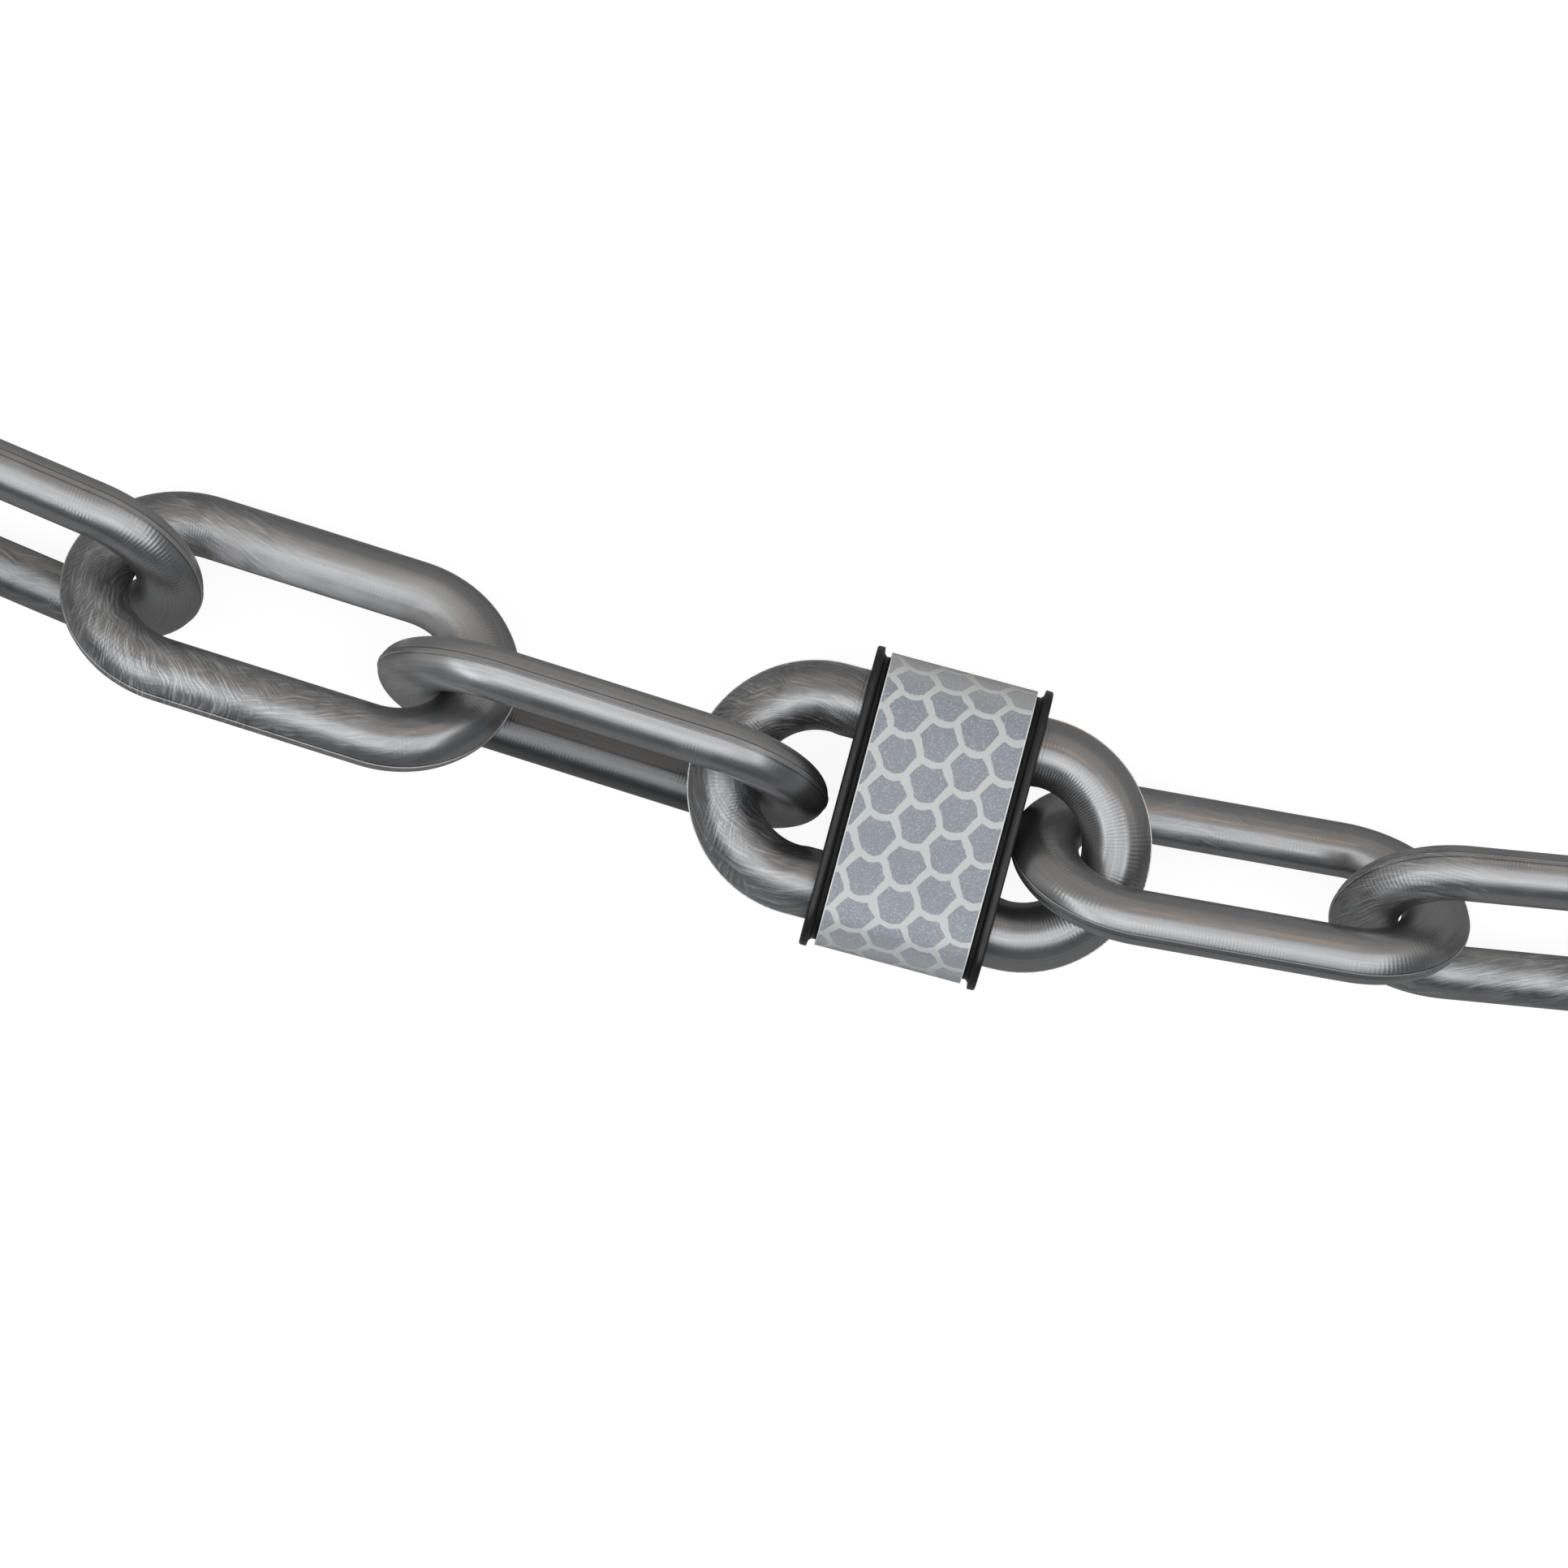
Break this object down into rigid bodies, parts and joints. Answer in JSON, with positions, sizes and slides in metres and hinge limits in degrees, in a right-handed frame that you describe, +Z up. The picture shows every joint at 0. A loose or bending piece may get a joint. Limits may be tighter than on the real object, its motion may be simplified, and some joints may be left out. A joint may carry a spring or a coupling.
{
  "type": "barrier chain",
  "caption": "Length of moulded plastic barrier chain: oval-bar links threaded through each other, one link wearing a two-part clip collar wound with a reflective band.",
  "frame": {"origin": "middle of the chain's outline seen from above, on the flat surface that the chain lies on", "axes": "+X runs along the chain towards link_8, +Y across it, +Z up from the surface it lies on"},
  "size_m": [0.3082, 0.0994, 0.029],
  "materials": {
    "silver_grey_plastic": "satin, metallic flake",
    "black_plastic": "satin",
    "reflective_sheet": "retroreflective sheet"
  },
  "bodies": {
    "link_1": {"link_1": "silver_grey_plastic"},
    "link_2": {"link_2": "silver_grey_plastic"},
    "link_3": {"link_3": "silver_grey_plastic"},
    "link_4": {"link_4": "silver_grey_plastic"},
    "link_5": {"link_5": "silver_grey_plastic"},
    "link_6": {"link_6": "silver_grey_plastic"},
    "link_7": {"link_7": "silver_grey_plastic"},
    "link_8": {"link_8": "silver_grey_plastic"},
    "collar": {"collar_front_shell": "black_plastic", "collar_back_shell": "black_plastic", "reflective_band": "reflective_sheet"}
  },
  "joints": [
    {"name": "collar_slide", "type": "slide", "parent": "link_5", "child": "collar", "axis": [0.9659, -0.2588, 0], "range_m": [-0.0014, 0.0002]},
    {"name": "link_4_swing", "type": "hinge", "parent": "link_5", "child": "link_4", "pos_m": [-0.00794, -0.01517, 0.01553], "axis": [-0.2905, -0.9212, 0.2588], "range_deg": [-40, 40]},
    {"name": "link_3_swing", "type": "hinge", "parent": "link_4", "child": "link_3", "pos_m": [-0.04392, -0.00279, 0.0129], "axis": [0.1767, 0.5606, 0.809], "range_deg": [-100, 100]},
    {"name": "link_2_swing", "type": "hinge", "parent": "link_3", "child": "link_2", "pos_m": [-0.07872, 0.01188, 0.01201], "axis": [-0.3417, -0.8051, 0.4848], "range_deg": [-100, 100]},
    {"name": "link_1_swing", "type": "hinge", "parent": "link_2", "child": "link_1", "pos_m": [-0.11465, 0.02534, 0.01319], "axis": [-0.0112, 0.3794, 0.9252], "range_deg": [-100, 100]},
    {"name": "link_6_swing", "type": "hinge", "parent": "link_5", "child": "link_6", "pos_m": [0.03743, -0.02403, 0.01553], "axis": [-0.1965, -0.817, -0.5422], "range_deg": [-18, 25]},
    {"name": "link_7_swing", "type": "hinge", "parent": "link_6", "child": "link_7", "pos_m": [0.07463, -0.03111, 0.01254], "axis": [-0.0797, -0.8349, 0.5446], "range_deg": [-100, 100]},
    {"name": "link_8_swing", "type": "hinge", "parent": "link_7", "child": "link_8", "pos_m": [0.1125, -0.03475, 0.0129], "axis": [0.1525, 0.4176, 0.8958], "range_deg": [-100, 100]}
  ]
}
